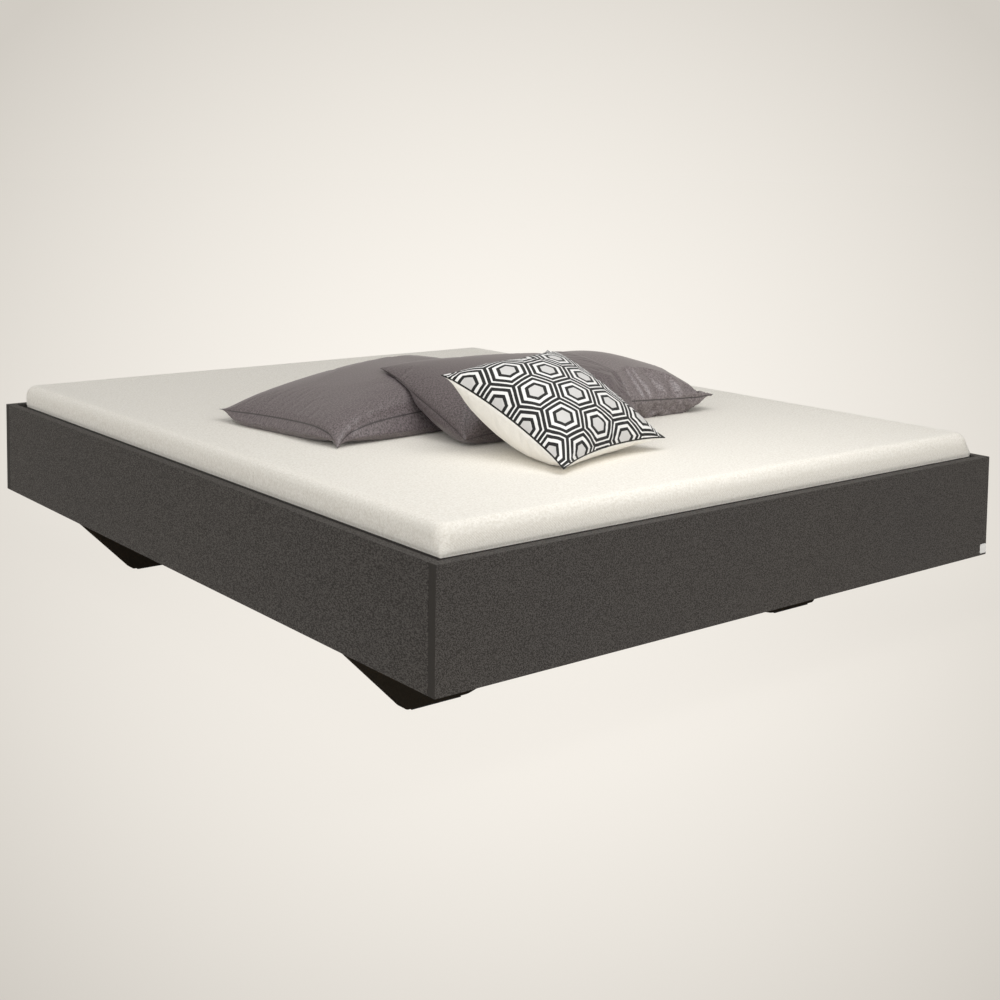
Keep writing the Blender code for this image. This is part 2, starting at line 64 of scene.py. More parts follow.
def viewAxes(view):
    turn, dip, roll = (math.radians(view[key]) for key in ("turn", "dip", "roll"))
    ahead = Vector((
        math.sin(turn) * math.cos(dip), math.cos(turn) * math.cos(dip), -math.sin(dip)
    ))
    right = Vector((math.cos(turn), -math.sin(turn), 0))
    up = right.cross(ahead)
    tiltedRight = math.cos(roll) * right + math.sin(roll) * up
    tiltedUp = math.cos(roll) * up - math.sin(roll) * right
    return tiltedRight, tiltedUp, ahead


def placeCamera(view):
    right, up, ahead = viewAxes(view)
    data = bpy.data.cameras.new("photoCamera")
    data.lens = view["lens"]
    data.sensor_width = view["sensor"]
    data.shift_y = view["drop"]
    data.clip_end = 200
    camera = bpy.data.objects.new("photoCamera", data)
    camera.matrix_world = Matrix.Translation(view["place"]) @ Matrix(
        (right, up, -ahead)
    ).transposed().to_4x4()
    scene.collection.objects.link(camera)
    scene.camera = camera


placeCamera(photoView)
print("camera placed")


# Shader helpers

def linear(hexColour):
    # An sRGB hex colour as the linear values that sockets take
    parts = [int(hexColour[k:k + 2], 16) / 255 for k in (1, 3, 5)]
    return [p / 12.92 if p <= 0.04045 else ((p + 0.055) / 1.055) ** 2.4 for p in parts] + [1]


def addNode(tree, kind, inputs=None, **settings):
    # An input takes a plain value, a hex colour, a socket, or a node for its own output.
    # A Mix of colours has them at its inputs 6 and 7.
    node = tree.nodes.new("ShaderNode" + kind)
    for name, value in settings.items():
        setattr(node, name, value)
    for socket, value in (inputs or {}).items():
        if isinstance(value, bpy.types.Node):
            value = outputOf(value)
        if isinstance(value, bpy.types.NodeSocket):
            tree.links.new(value, node.inputs[socket])
        else:
            node.inputs[socket].default_value = linear(value) if isinstance(value, str) else value
    return node


def outputOf(node):
    # A texture's factor, or else the first output in use
    return node.outputs.get("Fac") or next(out for out in node.outputs if out.enabled)


def newMaterial(name, **finish):
    # A material whose constant values stand on the shader's own sockets
    material = bpy.data.materials.new(name)
    material.use_nodes = True
    shader = material.node_tree.nodes["Principled BSDF"]
    for socket, value in finish.items():
        shader.inputs[socket.replace("_", " ")].default_value = value
    return material, material.node_tree


def dressed(material, colour, rough=None, bump=None):
    # Gives the shader the looks that vary over the surface
    tree = material.node_tree
    shader = tree.nodes["Principled BSDF"]
    for socket, look in (("Base Color", colour), ("Roughness", rough), ("Normal", bump)):
        if look is not None:
            tree.links.new(outputOf(look), shader.inputs[socket])
    return material


# Floor, backdrop and lights

studio = {
    "middle": "#FFFAF2",     # painted light on the paper in the middle of the view
    "rim": "#D1CCC4",        # and in its far corners, where the painted light is dimmer
    "aimRow": 478,           # the row of pixels where the paper is palest, half way across
    "spread": 0.205,         # squared tangent of the angle at which the rim is reached
    "falloff": 0.734,        # under one, the paper dims soonest near the middle
    "steepest": 0.05,        # least cosine of that angle, so that the paper behind stays dim
    "floorReach": 60.0,
    "paperShare": 0.91,      # how much of the floor's look is paper, the rest takes shadow
    "paperGlow": 1.034,      # makes up for the rest, so that floor and backdrop meet unseen
    "mattShare": 0.95,       # how pale that rest is beside the paper
    "skyStrength": 0.305,
    "fill": {"towards": (-0.93, -1.15, 0.30), "strength": 3.02, "angle": 120},
    "panel": {
        "place": (-0.18, -1.12, 1.57), "aim": (-0.18, -0.73, 0.47), "power": 7.8, "size": 0.9,
    },
}


def paintedPaperLight(tree, direction):
    # Painted light on the paper: palest in the middle of the view and dimmer round it, fixed in
    # the room
    _, up, ahead = viewAxes(photoView)
    pixels = photoView["pixels"]
    focal = photoView["lens"] / photoView["sensor"] * pixels
    rise = photoView["drop"] * pixels + pixels / 2 - studio["aimRow"]
    aim = (ahead + up * rise / focal).normalized()
    towards = addNode(tree, "VectorMath", {0: direction}, operation="NORMALIZE")
    along = addNode(tree, "VectorMath", {0: towards, 1: aim}, operation="DOT_PRODUCT")
    cosine = addNode(tree, "Math", {0: along, 1: studio["steepest"]}, operation="MAXIMUM")
    # One and the squared tangent of the angle
    squared = addNode(tree, "Math", {0: cosine, 1: -2.0}, operation="POWER")
    spread = addNode(
        tree, "MapRange", {0: squared, "From Min": 1.0, "From Max": 1 + studio["spread"]}
    )
    fallen = addNode(tree, "Math", {0: spread, 1: studio["falloff"]}, operation="POWER")
    return addNode(
        tree, "Mix", {0: fallen, 6: studio["middle"], 7: studio["rim"]}, data_type="RGBA"
    )


def seenDirectly(tree):
    # One for camera, mirror and glass rays, so that metal shows the same backdrop
    rays = addNode(tree, "LightPath").outputs
    either = addNode(
        tree, "Math", {0: rays["Is Camera Ray"], 1: rays["Is Glossy Ray"]}, operation="MAXIMUM"
    )
    return addNode(
        tree, "Math", {0: either, 1: rays["Is Transmission Ray"]}, operation="MAXIMUM"
    )


def buildBackdrop():
    world = bpy.data.worlds.new("softRoom")
    scene.world = world
    world.use_nodes = True
    tree = world.node_tree
    # The backdrop that the camera and mirrors see shows painted light, pale in the middle and
    # dimmer round it
    paper = paintedPaperLight(tree, addNode(tree, "TexCoord").outputs["Generated"])
    seen = tree.nodes["Background"]
    tree.links.new(outputOf(paper), seen.inputs["Color"])
    sky = addNode(tree, "Background", {"Color": "#FFFFFF", "Strength": studio["skyStrength"]})
    either = addNode(tree, "MixShader", {0: seenDirectly(tree), 1: sky, 2: seen})
    tree.links.new(outputOf(either), tree.nodes["World Output"].inputs["Surface"])


def buildFloor():
    reach = studio["floorReach"]
    mesh = bpy.data.meshes.new("paperFloor")
    mesh.from_pydata(
        [(-reach, -reach, 0), (reach, -reach, 0), (reach, reach, 0), (-reach, reach, 0)],
        [], [(0, 1, 2, 3)],
    )
    floor = bpy.data.objects.new("paperFloor", mesh)
    scene.collection.objects.link(floor)
    material, tree = newMaterial("paperWithPaintedLight")
    spot = addNode(tree, "NewGeometry").outputs["Position"]
    seenFrom = addNode(
        tree, "VectorMath", {0: spot, 1: photoView["place"]}, operation="SUBTRACT"
    )
    # The floor's glow and its colour carry the same painted light
    paper = paintedPaperLight(tree, seenFrom)
    glow = addNode(tree, "Emission", {"Color": paper, "Strength": studio["paperGlow"]})
    dimmed = addNode(
        tree, "VectorMath", {0: paper, "Scale": studio["mattShare"]}, operation="SCALE"
    )
    matt = addNode(tree, "BsdfDiffuse", {"Color": dimmed})
    share = addNode(
        tree, "Math", {0: seenDirectly(tree), 1: studio["paperShare"]}, operation="MULTIPLY"
    )
    surface = addNode(tree, "MixShader", {0: share, 1: matt, 2: glow})
    tree.nodes.remove(tree.nodes["Principled BSDF"])
    tree.links.new(outputOf(surface), tree.nodes["Material Output"].inputs["Surface"])
    mesh.materials.append(material)


def addLamp(name, kind, power, back, place=(0, 0, 0)):
    # A lamp with its back turned to one direction, which shines the other way
    data = bpy.data.lights.new(name, kind)
    data.energy = power
    lamp = bpy.data.objects.new(name, data)
    lamp.location = place
    lamp.rotation_euler = Vector(back).to_track_quat("Z", "Y").to_euler()
    scene.collection.objects.link(lamp)
    return data


buildBackdrop()
buildFloor()
fill, panel = studio["fill"], studio["panel"]
sun = addLamp("fill", "SUN", fill["strength"], fill["towards"])
sun.angle = math.radians(fill["angle"])
awayFromAim = Vector(panel["place"]) - Vector(panel["aim"])
addLamp("softPanel", "AREA", panel["power"], awayFromAim, panel["place"]).size = panel["size"]
scene.view_settings.view_transform = "Standard"
print("floor, backdrop and lamps ready")


# Materials of the frame

waveLength = 0.314   # metres from band to band of a wave texture at scale 1

# Where the end panels' cut ends lie, measured from the bed's middle
cutEnd = {"across": 0.8247, "along": 1.0029}


def sprayedMattBoard():
    # MDF sprayed with a matt graphite lacquer: no grain, fine light specks, a darker banded end
    material, tree = newMaterial(
        "sprayedMattBoard", Roughness=0.66, IOR=1.5, Specular_IOR_Level=0.22
    )
    place = addNode(tree, "TexCoord").outputs["Object"]
    # The lacquer's 0.5 mm specks, drawn 2.4 mm wide, and twice that along the bed, to show
    drawn = addNode(tree, "VectorMath", {0: place, 1: (1, 0.45, 1)}, operation="MULTIPLY")
    specks = addNode(
        tree, "TexNoise", {"Vector": drawn, "Scale": 1 / 0.0024, "Detail": 1, "Roughness": 0.85}
    )
    clear = addNode(tree, "MapRange", {0: specks, "From Min": 0.42, "From Max": 0.60})
    speckled = addNode(tree, "Mix", {0: clear, 6: "#2E2B29", 7: "#55524F"}, data_type="RGBA")
    cloud = addNode(tree, "TexNoise", {"Vector": place, "Scale": 1 / 0.35, "Detail": 1})
    clouded = addNode(tree, "Mix", {0: cloud, 6: "#F4F4F6", 7: "#FFFDFA"}, data_type="RGBA")
    toned = addNode(
        tree, "Mix", {0: 1.0, 6: speckled, 7: clouded}, data_type="RGBA", blend_type="MULTIPLY"
    )
    # The end panels' cut ends carry an edge band in a darker shade
    size = addNode(tree, "VectorMath", {0: place}, operation="ABSOLUTE")
    split = addNode(tree, "SeparateXYZ", {0: size}).outputs
    farOut = addNode(tree, "Math", {0: split[0], 1: cutEnd["across"]}, operation="GREATER_THAN")
    atEnd = addNode(tree, "Math", {0: split[1], 1: cutEnd["along"]}, operation="GREATER_THAN")
    banded = addNode(tree, "Math", {0: farOut, 1: atEnd}, operation="MULTIPLY")
    colour = addNode(tree, "Mix", {0: banded, 6: toned, 7: "#302D2A"}, data_type="RGBA")
    # Orange peel of the spray coat, 2 mm across
    peel = addNode(tree, "TexNoise", {"Vector": place, "Scale": 1 / 0.0022, "Detail": 1})
    bump = addNode(tree, "Bump", {"Height": peel, "Strength": 0.12, "Distance": 0.0004})
    return dressed(material, colour, bump=bump)


def blackLacqueredBoard():
    # Board lacquered black, dead matt: deep and even, with a fine peel
    material, tree = newMaterial("blackLacqueredBoard", IOR=1.5, Specular_IOR_Level=0.0)
    place = addNode(tree, "TexCoord").outputs["Object"]
    peel = addNode(tree, "TexNoise", {"Vector": place, "Scale": 1 / 0.0025, "Detail": 2})
    colour = addNode(tree, "Mix", {0: peel, 6: "#26221D", 7: "#37322B"}, data_type="RGBA")
    rough = addNode(tree, "MapRange", {0: peel, "To Min": 0.55, "To Max": 0.70})
    bump = addNode(tree, "Bump", {"Height": peel, "Strength": 0.1, "Distance": 0.0003})
    return dressed(material, colour, rough, bump)


def planedPine(grainAxis):
    # Planed pine left bare: pale earlywood, honey latewood bands and a few brown knots
    material, tree = newMaterial("planedPine" + "XYZ"[grainAxis], IOR=1.5)
    place = addNode(tree, "TexCoord").outputs["Object"]
    # The grain runs twenty times as far along as across, and a knot about twice
    grain, spots = (
        addNode(
            tree, "Mapping",
            {"Vector": place, "Scale": [share if axis == grainAxis else 1 for axis in range(3)]},
        )
        for share in (0.05, 0.45)
    )
    # Growth rings 6 mm apart
    rings = addNode(
        tree, "TexWave",
        {"Vector": grain, "Scale": waveLength / 0.006, "Distortion": 5.0,
         "Detail": 2.0, "Detail Scale": 0.45, "Detail Roughness": 0.55},
        bands_direction="XYZ"[(grainAxis + 1) % 2],
    )
    fibre = addNode(tree, "TexNoise", {"Vector": grain, "Scale": 1 / 0.0012, "Detail": 3})
    # Knots about 250 mm apart across the grain
    knots = addNode(tree, "TexVoronoi", {"Vector": spots, "Scale": 4.0, "Randomness": 1.0})
    knot = addNode(tree, "MapRange", {0: knots, "From Min": 0.055, "From Max": 0.02})
    wood = addNode(tree, "Mix", {0: rings, 6: "#E0C79C", 7: "#C99E66"}, data_type="RGBA")
    threaded = addNode(tree, "Mix", {0: fibre, 6: "#E8E0D6", 7: "#FFFDF8"}, data_type="RGBA")
    fibred = addNode(
        tree, "Mix", {0: 1.0, 6: wood, 7: threaded}, data_type="RGBA", blend_type="MULTIPLY"
    )
    colour = addNode(tree, "Mix", {0: knot, 6: fibred, 7: "#7A4F2C"}, data_type="RGBA")
    rough = addNode(tree, "MapRange", {0: rings, "To Min": 0.66, "To Max": 0.52})
    bump = addNode(tree, "Bump", {"Height": fibre, "Strength": 0.15, "Distance": 0.0004})
    return dressed(material, colour, rough, bump)


def brightZincPlate():
    # Steel stamped or turned and zinc plated: a cool bright grey with a dull bloom
    material, tree = newMaterial("brightZincPlate", Metallic=1.0)
    place = addNode(tree, "TexCoord").outputs["Object"]
    bloom = addNode(tree, "TexNoise", {"Vector": place, "Scale": 1 / 0.006, "Detail": 4})
    colour = addNode(tree, "Mix", {0: bloom, 6: "#A9ADB0", 7: "#D2D4D4"}, data_type="RGBA")
    rough = addNode(tree, "MapRange", {0: bloom, "To Min": 0.26, "To Max": 0.46})
    return dressed(material, colour, rough)


def mouldedPolyamide():
    # Black polyamide moulded in a sparked tool: dull, with a fine even grain
    material, tree = newMaterial("mouldedPolyamide", IOR=1.53)
    place = addNode(tree, "TexCoord").outputs["Object"]
    grain = addNode(tree, "TexNoise", {"Vector": place, "Scale": 1 / 0.0008, "Detail": 2})
    colour = addNode(tree, "Mix", {0: grain, 6: "#141414", 7: "#202020"}, data_type="RGBA")
    rough = addNode(tree, "MapRange", {0: grain, "To Min": 0.42, "To Max": 0.56})
    bump = addNode(tree, "Bump", {"Height": grain, "Strength": 0.15, "Distance": 0.0002})
    return dressed(material, colour, rough, bump)


def pressedWoolFelt():
    # Black wool felt, needled and pressed: matted short fibres that scatter the light
    material, tree = newMaterial(
        "pressedWoolFelt", Roughness=0.95, IOR=1.45, Sheen_Weight=0.12, Sheen_Roughness=0.5
    )
    place = addNode(tree, "TexCoord").outputs["Object"]
    matted = addNode(
        tree, "TexNoise",
        {"Vector": place, "Scale": 1 / 0.0016, "Detail": 5, "Roughness": 0.75, "Distortion": 1.5},
    )
    colour = addNode(tree, "Mix", {0: matted, 6: "#171614", 7: "#2C2926"}, data_type="RGBA")
    bump = addNode(tree, "Bump", {"Height": matted, "Strength": 0.5, "Distance": 0.0006})
    return dressed(material, colour, bump=bump)


def wovenWebbing():
    # Flat polyester webbing for roll-up slats: natural white, with a ribbed narrow weave
    material, tree = newMaterial(
        "wovenWebbing", Roughness=0.85, IOR=1.5, Sheen_Weight=0.15, Sheen_Roughness=0.5
    )
    place = addNode(tree, "TexCoord").outputs["Object"]
    # Picks 0.7 mm and ends 1 mm apart, drawn three times that so that they show
    picks, ends = (
        addNode(
            tree, "TexWave",
            {"Vector": place, "Scale": waveLength / spacing, "Distortion": waver},
            bands_direction=way,
        )
        for way, spacing, waver in (("Y", 0.0021, 0.4), ("X", 0.0031, 0.2))
    )
    weave = addNode(tree, "Math", {0: picks, 1: ends}, operation="MULTIPLY")
    colour = addNode(tree, "Mix", {0: weave, 6: "#B9B2A3", 7: "#E2DDD1"}, data_type="RGBA")
    bump = addNode(tree, "Bump", {"Height": weave, "Strength": 0.6, "Distance": 0.0005})
    return dressed(material, colour, bump=bump)


finishes = {
    "board": sprayedMattBoard(),
    "blackBoard": blackLacqueredBoard(),
    "pineAcross": planedPine(0),
    "pineAlong": planedPine(1),
    "pineUpright": planedPine(2),
    "zinc": brightZincPlate(),
    "polyamide": mouldedPolyamide(),
    "felt": pressedWoolFelt(),
    "webbing": wovenWebbing(),
}

# The first start of a name that fits gives the finish
finishOfNode = {
    "side_panel": "board", "foot_panel": "board", "head_panel": "board",
    "cross_board": "blackBoard", "slat_strap": "webbing", "slat_": "pineAcross",
    "side_batten": "pineAlong", "centre_rail": "pineAlong", "centre_leg_glide": "polyamide",
    "centre_leg": "pineUpright", "foot_pad": "felt", "corner_": "zinc", "rail_hanger": "zinc",
    "hanger_screw": "zinc", "board_bolt": "zinc", "leg_bolt": "zinc",
}

for name, node in cadNodes.items():
    for start, finish in finishOfNode.items():
        if name.startswith(start):
            for held in node.material_slots:
                held.material = finishes[finish]
            break
print("frame pieces finished")


# Materials of the soft pieces

mattressCut = {
    "size": (1.600, 2.000, 0.155),
    "top": 0.473,
    "cornerRadius": 0.033,
    "cornerSteps": 10,
    "cornerFill": 0.9,      # how nearly square the cover's corners are between the panels
    "cornerRise": 0.038,    # height above the seam over which they round off
    "edgeRadius": 0.028,
    "edgeSteps": 9,
    "inset": 0.010,         # how far the sides draw in where they show above the panels
    "insetFrom": -0.020,    # the height where that begins, from the mattress's middle
    "insetOver": 0.036,     # and the height over which it grows
    "cells": 0.025,
    "plainRim": 0.052,      # the cells stop this far in from the sides
    "waves": 0.0009,        # how far the filling lifts the cover
    # For each way: radians to the metre, how far the humps' rows sway, and the sway's radians
    "humps": ((9.1, 1.3, 5.3), (7.7, 0.9, 6.1)),
    "humpFade": 0.03,       # they fade out this far down the sides
    # The top is flat this far out from its middle, and between these places along the bed
    "calm": {"half": 0.72, "front": -0.80, "frontFade": 0.12, "back": 0.35, "backFade": 0.15},
    "seamAt": 0.4165,       # the side seam, with a band of painted shade just under it
    "seamDepth": 0.0025,
    "seamSpread": 0.0036,
    "seamRows": 0.006,      # the unit of the next line
    "seamCuts": (-6.8, -5.6, -4.4, -3, -1.6, -0.7, -0.3, 0, 0.3, 0.7, 1.6, 3),
    # Heights of the band of painted shade in the gap beside the panels
    "gapShadeBand": (0.3950, 0.4155),
}


def brushedCottonCover():
    # Mattress cover in off-white cotton drill, brushed: dull, heathered, with a fine weave
    material, tree = newMaterial(
        "brushedCottonCover", Roughness=0.92, IOR=1.45, Sheen_Weight=0.12, Sheen_Roughness=0.5
    )
    place = addNode(tree, "TexCoord").outputs["Object"]
    # Slubs in the yarn, 2 mm long, drawn 4.5 mm long so that they show
    heather = addNode(
        tree, "TexNoise", {"Vector": place, "Scale": 1 / 0.0045, "Detail": 3, "Roughness": 0.75}
    )
    spread = addNode(tree, "MapRange", {0: heather, "From Min": 0.34, "From Max": 0.66})
    yarn = addNode(tree, "Mix", {0: spread, 6: "#E1DBCF", 7: "#F8F4EB"}, data_type="RGBA")
    # Drill lines 0.9 mm apart, drawn 2.8 mm apart
    drill = addNode(
        tree, "TexWave", {"Vector": place, "Scale": waveLength / 0.0028, "Distortion": 0.8},
        bands_direction="DIAGONAL",
    )
    # Painted shade: the cover is darker where its rounded edge turns half way over, so the light
    # leaves no bright stripe there
    normal = addNode(tree, "NewGeometry").outputs["Normal"]
    facing = addNode(tree, "SeparateXYZ", {0: normal}).outputs[2]
    turned = addNode(tree, "Math", {0: 1.0, 1: facing}, operation="SUBTRACT")
    edge = addNode(tree, "Math", {0: turned, 1: facing}, operation="MULTIPLY")
    darker = addNode(
        tree, "MapRange", {0: edge, "From Max": 0.25, "To Min": 1.0, "To Max": 0.88}
    )
    edgeShadedYarn = addNode(tree, "VectorMath", {0: yarn, "Scale": darker}, operation="SCALE")
    # Painted shade: a dark band where the cover's side goes down into the gap beside the panels
    low, high = mattressCut["gapShadeBand"]
    height = addNode(tree, "SeparateXYZ", {0: place}).outputs[2]
    off = addNode(tree, "Math", {0: height, 1: (low + high) / 2}, operation="SUBTRACT")
    away = addNode(tree, "Math", {0: off}, operation="ABSOLUTE")
    inGapShade = addNode(tree, "Math", {0: away, 1: (high - low) / 2}, operation="LESS_THAN")
    colour = addNode(tree, "Mix", {0: inGapShade, 6: edgeShadedYarn, 7: "#312D2A"}, data_type="RGBA")
    uneven = addNode(tree, "Math", {0: heather, 1: drill}, operation="ADD")
    bump = addNode(tree, "Bump", {"Height": uneven, "Strength": 0.18, "Distance": 0.0006})
    return dressed(material, colour, bump=bump)


def wovenThreads(tree, cloth, spacing, strength):
    # Bump of crossing threads, from the cloth's own coordinates in metres
    across, along = (
        addNode(
            tree, "TexWave",
            {"Vector": cloth, "Scale": waveLength / spacing, "Distortion": 0.6, "Detail": 1},
            bands_direction=way,
        )
        for way in "XY"
    )
    crossed = addNode(tree, "Math", {0: across, 1: along}, operation="MULTIPLY")
    return addNode(tree, "Bump", {"Height": crossed, "Strength": strength, "Distance": 0.0004})


def wovenSatin(name, deep, pale):
    # Polyester satin in taupe: smooth floats that catch the light in soft streaks
    material, tree = newMaterial(
        name, IOR=1.5, Sheen_Weight=0.22, Sheen_Roughness=0.35,
        Sheen_Tint=linear("#D8CFCF"), Specular_IOR_Level=0.6,
    )
    cloth = addNode(tree, "UVMap", uv_map="cloth")
    # The yarn's own unevenness, 0.5 mm, drawn 4 mm wide so that it shows
    fine = addNode(
        tree, "TexNoise", {"Vector": cloth, "Scale": 1 / 0.0042, "Detail": 2, "Roughness": 0.8}
    )
    uneven = addNode(tree, "MapRange", {0: fine, "From Min": 0.38, "From Max": 0.62})
    yarn = addNode(tree, "Mix", {0: uneven, 6: deep, 7: pale}, data_type="RGBA")
    # Painted shade: a thin dark line along the seam, where its groove would be in shadow
    gap = addNode(tree, "Attribute", attribute_name="seamGap")
    sewn = addNode(tree, "MapRange", {0: gap, "From Min": 0.0019, "From Max": 0.0004})
    colour = addNode(tree, "Mix", {0: sewn, 6: yarn, 7: "#2F2A2B"}, data_type="RGBA")
    rough = addNode(tree, "MapRange", {0: uneven, "To Min": 0.36, "To Max": 0.48})
    # Threads 0.3 mm apart, drawn 2.2 mm apart
    return dressed(material, colour, rough, wovenThreads(tree, cloth, 0.0022, 0.10))


def plainCottonCanvas():
    # The cushion's back in undyed cotton canvas: warm white and dull, with a plain weave
    material, tree = newMaterial(
        "plainCottonCanvas", Roughness=0.9, IOR=1.45, Sheen_Weight=0.1, Sheen_Roughness=0.5
    )
    cloth = addNode(tree, "UVMap", uv_map="cloth")
    slubs = addNode(tree, "TexNoise", {"Vector": cloth, "Scale": 1 / 0.004, "Detail": 4})
    colour = addNode(tree, "Mix", {0: slubs, 6: "#EBE8E0", 7: "#F7F4EE"}, data_type="RGBA")
    # Threads 0.7 mm apart, drawn 2 mm apart
    return dressed(material, colour, bump=wovenThreads(tree, cloth, 0.0020, 0.25))


honeycomb = {
    "pitch": 0.0872,               # metres between hexagons
    "wider": 1.093,                # the printed cloth is stretched across
    "start": (-0.1080, -0.0069),   # one hexagon's middle, from the cushion's middle
    "lines": (0.43, 0.755, 1.0),   # each line's place, as a share of the way out to the border
    "halfLine": 0.079,
    "softEdge": 0.006,
    "edgeBand": 0.0062,            # the printed border along the seam, in metres
    "bandSoftEdge": 0.0004,
}


def honeycombPrint():
    # Cotton canvas screen printed in black: opaque ink, slightly smoother than the bare cloth
    material, tree = newMaterial(
        "honeycombPrint", IOR=1.45, Sheen_Weight=0.08, Sheen_Roughness=0.5
    )
    cloth = addNode(tree, "UVMap", uv_map="cloth")
    wider, half = honeycomb["wider"], honeycomb["pitch"] / 2
    column = half * math.sqrt(3)
    narrowed = addNode(tree, "VectorMath", {0: cloth, 1: (1 / wider, 1, 1)}, operation="MULTIPLY")
    x, y = honeycomb["start"]
    reaches = []
    for shiftX, shiftY in ((0, 0), (column, half)):   # two sets of cells make the honeycomb
        start = (x / wider + shiftX, y + shiftY, 0)
        local = addNode(tree, "VectorMath", {0: narrowed, 1: start}, operation="SUBTRACT")
        wrapped = addNode(
            tree, "VectorMath", {0: local, 1: (column, half, 1), 2: (-column, -half, -1)},
            operation="WRAP",
        )
        size = addNode(tree, "VectorMath", {0: wrapped}, operation="ABSOLUTE")
        upright = addNode(tree, "SeparateXYZ", {0: size}).outputs[1]
        slanted = addNode(
            tree, "VectorMath", {0: size, 1: (math.sqrt(3) / 2, 0.5, 0)},
            operation="DOT_PRODUCT",
        )
        reaches.append(addNode(tree, "Math", {0: upright, 1: slanted}, operation="MAXIMUM"))
    nearest = addNode(tree, "Math", dict(enumerate(reaches)), operation="MINIMUM")
    share = addNode(tree, "Math", {0: nearest, 1: half}, operation="DIVIDE")
    gap = addNode(tree, "Attribute", attribute_name="seamGap")
    band, line = honeycomb["edgeBand"], honeycomb["halfLine"]
    bandEdge, lineEdge = band + honeycomb["bandSoftEdge"], line + honeycomb["softEdge"]
    ink = addNode(tree, "MapRange", {0: gap, "From Min": bandEdge, "From Max": band})
    for middle in honeycomb["lines"]:
        apart = addNode(tree, "Math", {0: share, 1: middle}, operation="SUBTRACT")
        off = addNode(tree, "Math", {0: apart}, operation="ABSOLUTE")
        drawn = addNode(tree, "MapRange", {0: off, "From Min": lineEdge, "From Max": line})
        ink = addNode(tree, "Math", {0: ink, 1: drawn}, operation="MAXIMUM")
    slubs = addNode(tree, "TexNoise", {"Vector": cloth, "Scale": 1 / 0.004, "Detail": 3})
    ground = addNode(tree, "Mix", {0: slubs, 6: "#DAD8D5", 7: "#E6E5E2"}, data_type="RGBA")
    inner = addNode(tree, "Math", {0: share, 1: honeycomb["lines"][0]}, operation="LESS_THAN")
    greyed = addNode(tree, "Mix", {0: inner, 6: ground, 7: "#C4C2BF"}, data_type="RGBA")
    colour = addNode(tree, "Mix", {0: ink, 6: greyed, 7: "#080807"}, data_type="RGBA")
    rough = addNode(tree, "MapRange", {0: ink, "To Min": 0.9, "To Max": 0.72})
    return dressed(material, colour, rough, wovenThreads(tree, cloth, 0.0020, 0.2))


cottonCover = brushedCottonCover()
# One cloth in three copies: the right pillow's is painted lighter, as painted light, and the
# middle pillow's darker, as painted shade
satin = wovenSatin("wovenSatin", "#433B3C", "#766D6E")
satinPaintedLighter = wovenSatin("wovenSatinPaintedLighter", "#4F4747", "#877E7E")
satinPaintedDarker = wovenSatin("wovenSatinPaintedDarker", "#3E3637", "#6E6566")
canvas = plainCottonCanvas()
printed = honeycombPrint()


# Mesh helpers

def addPiece(name, mesh, materials, body):
    piece = bpy.data.objects.new(name, mesh)
    for material in materials:
        mesh.materials.append(material)
    scene.collection.objects.link(piece)
    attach(piece, body)
    return piece


def smoothShade(mesh):
    mesh.polygons.foreach_set("use_smooth", [True] * len(mesh.polygons))


def addBox(bm, centre, size):
    place = Matrix.Translation(centre) @ Matrix.Diagonal((*size, 1))
    bmesh.ops.create_cube(bm, size=1, matrix=place)


def addRow(bm, place, way):
    # A row of vertices right round, where a plane that faces this way cuts the mesh
    bmesh.ops.bisect_plane(
        bm, geom=bm.verts[:] + bm.edges[:] + bm.faces[:], plane_co=place, plane_no=way
    )


def meshFrom(bm, name):
    mesh = bpy.data.meshes.new(name)
    bm.to_mesh(mesh)
    bm.free()
    return mesh


# Mattress

def eased(share):
    # From nothing to one, gently at both ends
    share = min(1, max(0, share))
    return share * share * (3 - 2 * share)


def liftOfFilling(cut, x, y, z):
    # The filling is a little uneven, but the top lies flat where the pillows rest
    (across, sway, bend), (along, swayBack, bendBack) = cut["humps"]
    wave = math.sin(across * x + sway * math.sin(bend * y))
    wave *= math.sin(along * y + swayBack * math.sin(bendBack * x))
    lift = cut["waves"] * (wave * 0.5 + 0.5)
    if z <= 0:
        return -lift
    calm = cut["calm"]
    front, back = (calm["front"] - y) / calm["frontFade"], (y - calm["back"]) / calm["backFade"]
    return lift * min(1, abs(x / calm["half"]) ** 4 + max(0, front, back))


